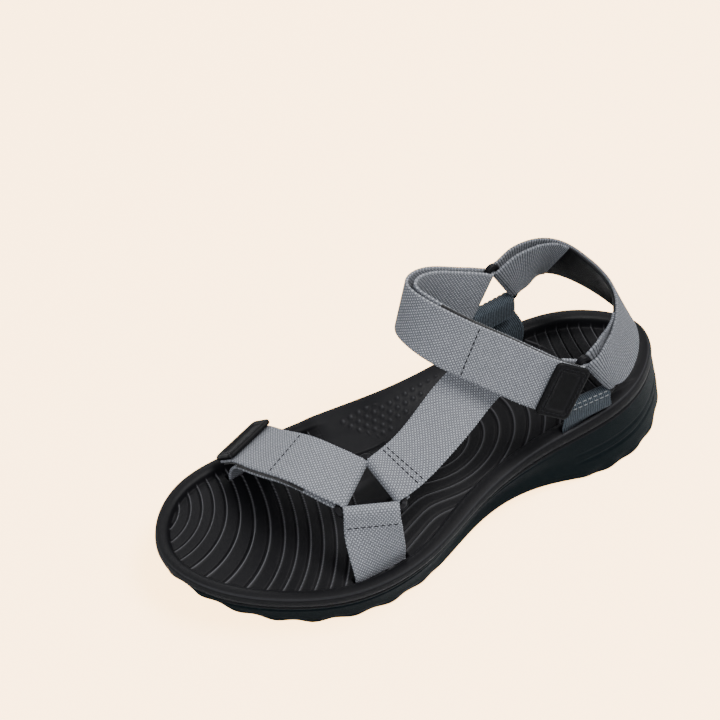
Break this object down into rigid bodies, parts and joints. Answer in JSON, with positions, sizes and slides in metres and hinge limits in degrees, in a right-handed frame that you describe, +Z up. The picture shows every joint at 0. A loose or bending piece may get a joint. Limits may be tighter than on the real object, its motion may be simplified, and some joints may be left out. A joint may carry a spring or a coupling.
{
  "type": "sport sandal",
  "caption": "Open strappy sport sandal for a left foot: moulded sole, webbing straps through triangular rings, hook-and-loop toe and ankle straps, padded heel strap.",
  "frame": {"origin": "middle of the ground plan, on the ground", "axes": "+X to the toe, +Y to the outer side of the left foot, +Z up"},
  "size_m": [0.2683, 0.1015, 0.1095],
  "materials": {
    "outsole_rubber": "matte moulded rubber tread",
    "midsole_foam": "matte moulded foam",
    "footbed_foam": "satin moulded foam with ridges",
    "ring_plastic": "satin moulded nylon",
    "webbing": "plain woven polyester webbing",
    "loop_tape": "soft looped pile",
    "hook_tape": "coarse hooked pile",
    "tab_rubber": "matte moulded rubber",
    "lining": "smooth synthetic lining",
    "thread": "sewing thread"
  },
  "bodies": {
    "sandal": {"outsole": "outsole_rubber", "midsole": "midsole_foam", "footbed": "footbed_foam", "toe_ring": "ring_plastic", "lateral_ring": "ring_plastic", "medial_ring": "ring_plastic", "toe_strap_base": "webbing", "toe_loop_tape": "loop_tape", "toe_lateral_anchor": "webbing", "instep_strap": "webbing", "ankle_strap_base": "webbing", "ankle_strap_return": "webbing", "ankle_loop_tape": "loop_tape", "lateral_anchor": "webbing", "medial_anchor": "webbing", "heel_loop_lateral": "webbing", "heel_loop_medial": "webbing"},
    "toe_tail": {"toe_strap_tail": "webbing", "toe_hook_tape": "hook_tape", "toe_pull_tab": "tab_rubber"},
    "ankle_tail": {"ankle_strap_tail": "webbing", "ankle_hook_tape": "hook_tape", "ankle_pull_tab": "tab_rubber"},
    "heel_band": {"heel_strap": "webbing", "heel_lining": "lining"}
  },
  "joints": [
    {"name": "toe_strap_peel", "type": "hinge", "parent": "sandal", "child": "toe_tail", "pos_m": [0.05316, 0.01358, 0.05054], "axis": [-0.8173, -0.5227, 0.2426], "range_deg": [0, 115]},
    {"name": "ankle_strap_peel", "type": "hinge", "parent": "sandal", "child": "ankle_tail", "pos_m": [0.00125, -0.01645, 0.09655], "axis": [0.4037, -0.0797, -0.9114], "range_deg": [0, 115]},
    {"name": "heel_strap_fold", "type": "hinge", "parent": "sandal", "child": "heel_band", "pos_m": [-0.07393, -0.00319, 0.07471], "axis": [0.187, -0.9448, 0.269], "range_deg": [-8, 12]}
  ]
}
